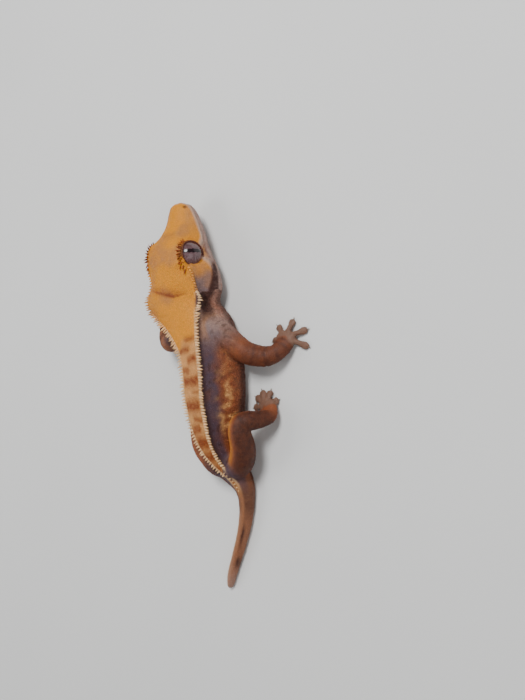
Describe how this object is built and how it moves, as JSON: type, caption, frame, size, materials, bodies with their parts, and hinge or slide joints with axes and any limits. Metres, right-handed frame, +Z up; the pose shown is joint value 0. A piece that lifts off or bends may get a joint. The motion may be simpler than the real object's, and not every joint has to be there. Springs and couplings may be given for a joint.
{
  "type": "crested gecko",
  "caption": "Life-size still model of a crested gecko resting on its belly, toes and tail, head straight ahead, with crests, lashes and padded toes.",
  "frame": {"origin": "bottom centre of the whole animal's box, on the floor", "axes": "+Z up, +Y from the tail to the snout, +X towards the animal's right side"},
  "size_m": [0.075, 0.1448, 0.0204],
  "materials": {
    "head_skin": "golden orange granular skin with cream spines",
    "body_skin": "grey-mauve and rust granular skin with a cream back band",
    "limb_skin": "rust granular skin with pale toes",
    "tail_skin": "tan granular skin with dark flecks",
    "eye": "wet gloss over a pale mauve iris with a slit pupil"
  },
  "bodies": {
    "root": {"head": "head_skin", "eye_right": "eye", "eye_left": "eye", "neck": "body_skin", "torso": "body_skin", "hips": "body_skin", "tail_root": "tail_skin", "tail_end": "tail_skin", "upper_arm_right": "limb_skin", "forearm_right": "limb_skin", "hand_right": "limb_skin", "upper_arm_left": "limb_skin", "forearm_left": "limb_skin", "hand_left": "limb_skin", "thigh_right": "limb_skin", "shin_right": "limb_skin", "foot_right": "limb_skin", "thigh_left": "limb_skin", "shin_left": "limb_skin", "foot_left": "limb_skin"}
  },
  "joints": []
}
